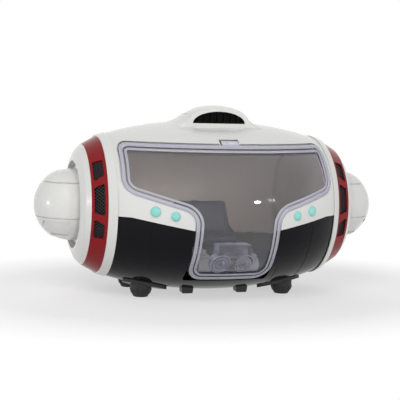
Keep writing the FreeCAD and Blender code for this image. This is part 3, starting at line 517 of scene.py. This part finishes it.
for side, sign in (("left", -1), ("right", 1)):
    wires = []
    for lean in (-1, 1):
        for number in range(WIRES_ROUND):
            wire = []
            for step in range(WIRE_STEPS + 1):
                share = step / WIRE_STEPS
                x = WIRE_START + (WIRE_STOP - WIRE_START) * share
                angle = number * math.tau / WIRES_ROUND + lean * WIRE_LEAN * share
                radius = wire_radius(x)
                wire.append((sign * x, radius * math.cos(angle), HULL_AXIS + radius * math.sin(angle)))
            wires.append((wire, False))
    tube_piece(f"vent_wires_{side}", wires, WIRE_RADIUS, mesh_wire, "pod", sides=4)

# Lamps: four domed lenses in pale aqua, moulded in clear plastic, painted behind and pressed into the cheeks.
# Their domes are polished, and shinier than the shell round them.
LENS_AQUA = (0.26, 0.68, 0.62)
lens_aqua = moulded_plastic("lens_aqua", LENS_AQUA, 0.15, mottle=0.08, coat=0.6)
for side in ("left", "right"):
    finish_node(f"lamp_inner_{side}", lens_aqua)
    finish_node(f"lamp_outer_{side}", lens_aqua)

# Canopy: one clear moulding with a raised double bead, tinted faintly violet where it is seen edge-on.
# The clear hinge bracket is screwed inside its tongue.
CANOPY_TINT = (0.94, 0.932, 0.945)
CANOPY_EDGE_TINT = (0.62, 0.62, 0.80)
BRACKET_TINT = (0.93, 0.93, 0.96)
BRACKET_EDGE_TINT = (0.62, 0.62, 0.76)
DEPTH_TINT = (0.42, 0.43, 0.66, 1.0)
PLASTIC_IOR = 1.49


def clear_plastic(name, tint, edge_tint, roughness, thickness_tint, clear=0.985):
    """Clear moulded plastic that lets light through and looks violet where it is thick."""
    material, tree, shader = new_material(name)
    shader.inputs["Transmission Weight"].default_value = clear
    shader.inputs["IOR"].default_value = PLASTIC_IOR
    coords = tree.nodes.new("ShaderNodeTexCoord")
    flow = tree.nodes.new("ShaderNodeTexNoise")
    flow.inputs["Scale"].default_value = 60.0
    facing = tree.nodes.new("ShaderNodeLayerWeight")
    facing.inputs["Blend"].default_value = 0.35
    edge = tree.nodes.new("ShaderNodeMix")
    edge.data_type = "RGBA"
    edge.inputs["A"].default_value = (*tint, 1.0)
    edge.inputs["B"].default_value = (*edge_tint, 1.0)
    haze = tree.nodes.new("ShaderNodeMapRange")
    haze.inputs["To Min"].default_value = roughness
    haze.inputs["To Max"].default_value = roughness * 2.0
    bump = tree.nodes.new("ShaderNodeBump")
    bump.inputs["Strength"].default_value = 0.015
    bump.inputs["Distance"].default_value = 0.0005
    tree.links.new(coords.outputs["Object"], flow.inputs["Vector"])
    tree.links.new(facing.outputs["Facing"], edge.inputs["Factor"])
    tree.links.new(edge.outputs["Result"], shader.inputs["Base Color"])
    tree.links.new(flow.outputs["Fac"], haze.inputs["Value"])
    tree.links.new(haze.outputs["Result"], shader.inputs["Roughness"])
    tree.links.new(flow.outputs["Fac"], bump.inputs["Height"])
    tree.links.new(bump.outputs["Normal"], shader.inputs["Normal"])
    depth_tint = tree.nodes.new("ShaderNodeVolumeAbsorption")
    depth_tint.inputs["Color"].default_value = DEPTH_TINT
    depth_tint.inputs["Density"].default_value = thickness_tint
    tree.links.new(depth_tint.outputs[0], tree.nodes["Material Output"].inputs["Volume"])
    path = tree.nodes.new("ShaderNodeLightPath")
    through = tree.nodes.new("ShaderNodeBsdfTransparent")
    through.inputs["Color"].default_value = (*tint, 1.0)
    mix = tree.nodes.new("ShaderNodeMixShader")
    tree.links.new(path.outputs["Is Shadow Ray"], mix.inputs[0])
    tree.links.new(shader.outputs[0], mix.inputs[1])
    tree.links.new(through.outputs[0], mix.inputs[2])
    tree.links.new(mix.outputs[0], tree.nodes["Material Output"].inputs["Surface"])
    return material


canopy_clear = clear_plastic("canopy_clear", CANOPY_TINT, CANOPY_EDGE_TINT, 0.03, 50.0)
finish_node("canopy", canopy_clear)
bracket_clear = clear_plastic("bracket_clear", BRACKET_TINT, BRACKET_EDGE_TINT, 0.16, 35.0)
finish_node("hinge_bracket", bracket_clear)

# Canopy rim: the tops of the two beads that run round the canopy carry a thin pale half-clear film, a painted
# highlight for the light that the clear beads catch.
# The outline is the canopy's own, a wide rounded shield with a tongue, rounded at every corner.
# Corners of its right half, from the top down: place across, height over the hull's axis, and rounding.
RIM_CORNERS = ((0.083, 0.0515, 0.007), (0.084, 0.017, 0.012), (0.033, 0.002, 0.012), (0.033, -0.052, 0.012))
BEAD_TINT = (0.74, 0.74, 0.80)
BEAD_EDGE_TINT = (0.58, 0.58, 0.70)
BEAD_PROUD = 0.00092
BEAD_ROUNDING = 0.0002
BEAD_BANDS = ((0.00005, 0.0026), (0.0036, 0.0054))
BEAD_STEP = 0.003
BEAD_FILM = 0.0001
ARC_STEPS = 10


def rim_outline():
    """Points round the canopy's edge seen from the front, each with the direction inwards."""
    corners = list(RIM_CORNERS) + [(-x, z, radius) for x, z, radius in reversed(RIM_CORNERS)]
    outline = []
    for index, (x, z, radius) in enumerate(corners):
        here = Vector((x, z))
        before = (Vector(corners[index - 1][:2]) - here).normalized()
        after = (Vector(corners[(index + 1) % len(corners)][:2]) - here).normalized()
        half = before.angle(after) / 2
        centre = here + (before + after).normalized() * radius / math.sin(half)
        start = here + before * radius / math.tan(half) - centre
        end = here + after * radius / math.tan(half) - centre
        first_angle = math.atan2(start.y, start.x)
        sweep = math.atan2(start.x * end.y - start.y * end.x, start.dot(end))
        for step in range(ARC_STEPS + 1):
            angle = first_angle + sweep * step / ARC_STEPS
            spoke = Vector((math.cos(angle), math.sin(angle)))
            outline.append((centre + spoke * radius, spoke if sweep > 0 else -spoke))
    dense = []
    for (point, inward), (next_point, next_inward) in zip(outline, outline[1:] + outline[:1]):
        pieces = max(int((next_point - point).length / BEAD_STEP), 1)
        for step in range(pieces):
            share = step / pieces
            dense.append((point.lerp(next_point, share), inward.lerp(next_inward, share).normalized()))
    return dense


def on_bead(point, proud):
    """Place on the bead's top for a point of the front view."""
    depth, height = hull_radii(point.x, -proud)
    return (point.x, -depth * math.sqrt(1 - (point.y / height) ** 2), HULL_AXIS + point.y)


# Painted highlight: the bead tops are drawn in a pale half-clear plastic for the light they catch.
bead_painted_sheen = clear_plastic("bead_painted_sheen", BEAD_TINT, BEAD_EDGE_TINT, 0.3, 20.0, clear=0.55)
rim = bmesh.new()
rim_points = rim_outline()
for outside, inside in BEAD_BANDS:
    section = ((outside, BEAD_PROUD - BEAD_ROUNDING), (outside + BEAD_ROUNDING, BEAD_PROUD),
               (inside - BEAD_ROUNDING, BEAD_PROUD), (inside, BEAD_PROUD - BEAD_ROUNDING))
    tracks = []
    for offset, proud in section:
        track = []
        for point, inward in rim_points:
            track.append(rim.verts.new(on_bead(point + inward * offset, proud)))
        tracks.append(track)
    for low, high in zip(tracks, tracks[1:]):
        for index in range(len(low)):
            after = (index + 1) % len(low)
            rim.faces.new((low[index], low[after], high[after], high[index]))
bead_tops = mesh_piece("bead_tops", rim, bead_painted_sheen, "canopy")
film = bead_tops.modifiers.new("film", "SOLIDIFY")
film.thickness = BEAD_FILM
film.offset = 0.0

# Hinge bosses: each clear boss has a moulded rim and two smaller rings round its screw hole. They are moulded
# with the tongue, just behind its skin, and show through it. The rings are drawn in opaque pale grey, a
# painted highlight for the light that the clear rims catch.
# Painted highlight: the pale grey of the boss rings stands for light caught by the clear rims.
BOSS_RIM_PAINTED_GLINT = (0.62, 0.62, 0.72)
BOSS_PLACES = (-0.0095, 0.0095)
BOSS_HEIGHT = 0.0330
BOSS_RINGS = (0.0072, 0.0050, 0.0026)
BOSS_RING_SIDES = 48
BOSS_RING_WIRE = 0.00035
BEHIND_TONGUE = 0.0018


def inside_tongue(x, z):
    """Point just behind the inner skin of the canopy."""
    depth, height = hull_radii(x, BEHIND_TONGUE)
    return (x, -depth * math.sqrt(1 - ((z - HULL_AXIS) / height) ** 2), z)


boss_rim_painted_glint = moulded_plastic("boss_rim_painted_glint", BOSS_RIM_PAINTED_GLINT, 0.3, mottle=0.1)
rings = []
for middle in BOSS_PLACES:
    for radius in BOSS_RINGS:
        ring = []
        for turn in range(BOSS_RING_SIDES):
            angle = turn * math.tau / BOSS_RING_SIDES
            x = middle + radius * math.cos(angle)
            z = BOSS_HEIGHT + radius * math.sin(angle)
            ring.append(inside_tongue(x, z))
        rings.append((ring, True))
tube_piece("boss_rims", rings, BOSS_RING_WIRE, boss_rim_painted_glint, "canopy", sides=8)

# Hinge pin: plain steel wire, cut to length and pressed into the two arms.
# The clear hinge block turns on it. It is lightly brushed, as drawn wire is.
STEEL = (0.55, 0.55, 0.56, 1.0)
pin_steel, tree, steel = new_material("pin_steel")
steel.inputs["Metallic"].default_value = 1.0
brushing = tree.nodes.new("ShaderNodeTexNoise")
brushing.inputs["Scale"].default_value = 300.0
brushed = tree.nodes.new("ShaderNodeMapRange")
brushed.inputs["To Min"].default_value = 0.2
brushed.inputs["To Max"].default_value = 0.4
tree.links.new(brushing.outputs["Fac"], brushed.inputs["Value"])
tree.links.new(brushed.outputs["Result"], steel.inputs["Roughness"])
steel.inputs["Base Color"].default_value = STEEL
finish_node("hinge_pin", pin_steel)

# Screws: small steel screws with a domed head and a round sunk socket.
# One sits behind each hinge boss, and four hold the belly of the black shell from below.
SCREW_RINGS = ((0.0017, 0.0), (0.0017, 0.0005), (0.0012, 0.0009))
SCREW_SIDES = 24
SOCKET_RIM = 0.0004
SOCKET_DEPTH = 0.0004
BOSS_SCREW_SEAT = -0.0643
BELLY_SCREWS = ((-0.037, 0.033), (0.037, 0.033), (-0.037, -0.010), (0.037, -0.010))
BELLY_SCREW_SINK = 0.0001


def screw_head(shape, place, outward, spin):
    """Domed round head with a sunk socket, added to a bmesh."""
    turn_to = outward.to_track_quat("Z", "Y").to_matrix().to_4x4()
    stand = Matrix.Translation(place) @ turn_to @ Matrix.Rotation(spin, 4, "Z")
    loops = []
    for radius, lift in SCREW_RINGS:
        loop = []
        for turn in range(SCREW_SIDES):
            angle = turn * math.tau / SCREW_SIDES
            spot = Vector((radius * math.cos(angle), radius * math.sin(angle), lift))
            loop.append(shape.verts.new(stand @ spot))
        loops.append(loop)
    for low, high in zip(loops, loops[1:]):
        for turn in range(SCREW_SIDES):
            after = (turn + 1) % SCREW_SIDES
            shape.faces.new((low[turn], low[after], high[after], high[turn]))
    crown = shape.faces.new(loops[-1])
    bmesh.ops.inset_individual(shape, faces=[crown], thickness=SOCKET_RIM, depth=-SOCKET_DEPTH)


hinge_screws = bmesh.new()
for number, middle in enumerate(BOSS_PLACES):
    screw_head(hinge_screws, Vector((middle, BOSS_SCREW_SEAT, BOSS_HEIGHT)), Vector((0, 1, 0)), 0.4 + number)
mesh_piece("hinge_screws", hinge_screws, pin_steel, "canopy")
belly_screws = bmesh.new()
for number, (x, y) in enumerate(BELLY_SCREWS):
    depth, height = hull_radii(x, 0.0)
    z = HULL_AXIS - height * math.sqrt(1 - (y / depth) ** 2)
    outward = Vector((0, y / depth ** 2, (z - HULL_AXIS) / height ** 2)).normalized()
    screw_head(belly_screws, Vector((x, y, z)) - outward * BELLY_SCREW_SINK, outward, 0.3 + number * 0.7)
mesh_piece("belly_screws", belly_screws, pin_steel, "pod")

# Feet: four satin black leaf brackets with matt black rubber pads pushed on their studs, and four small
# satin black pads in the middle. The brackets and the middle pads are glued to the belly.
FOOT_BLACK = (0.014, 0.014, 0.015)
PAD_RUBBER = (0.018, 0.018, 0.018)
foot_black = moulded_plastic("foot_black", FOOT_BLACK, 0.3, mottle=0.15)
foot_rubber = moulded_plastic("foot_rubber", PAD_RUBBER, 0.6, mottle=0.2, ripple=0.1)
for end in ("front_left", "front_right", "rear_left", "rear_right"):
    finish_node(f"foot_bracket_{end}", foot_black)
    finish_node(f"foot_pad_{end}", foot_rubber)
    finish_node(f"keel_pad_{end}", foot_black)

# Pad ribs: short upright grip ribs round the side of each rubber pad.
# They are moulded with the pad, in the same rubber.
PAD_PLACE = Vector((0.059, 0.022, 0.0))
# Line of a rib from below: distance from the pad's middle, and height.
PAD_PROFILE = ((0.0060, 0.0015), (0.0074, 0.0031), (0.0083, 0.0058), (0.0083, 0.0064))
RIBS_PER_PAD = 10
RIB_RADIUS = 0.00045
ribs = []
for across in (-1, 1):
    for along in (-1, 1):
        for number in range(RIBS_PER_PAD):
            turn = (number + 0.5) * math.tau / RIBS_PER_PAD
            rib = []
            for radius, z in PAD_PROFILE:
                x = across * PAD_PLACE.x + radius * math.cos(turn)
                y = along * PAD_PLACE.y + radius * math.sin(turn)
                rib.append((x, y, z))
            ribs.append((rib, False))
tube_piece("pad_ribs", ribs, RIB_RADIUS, foot_rubber, "pod", sides=8)
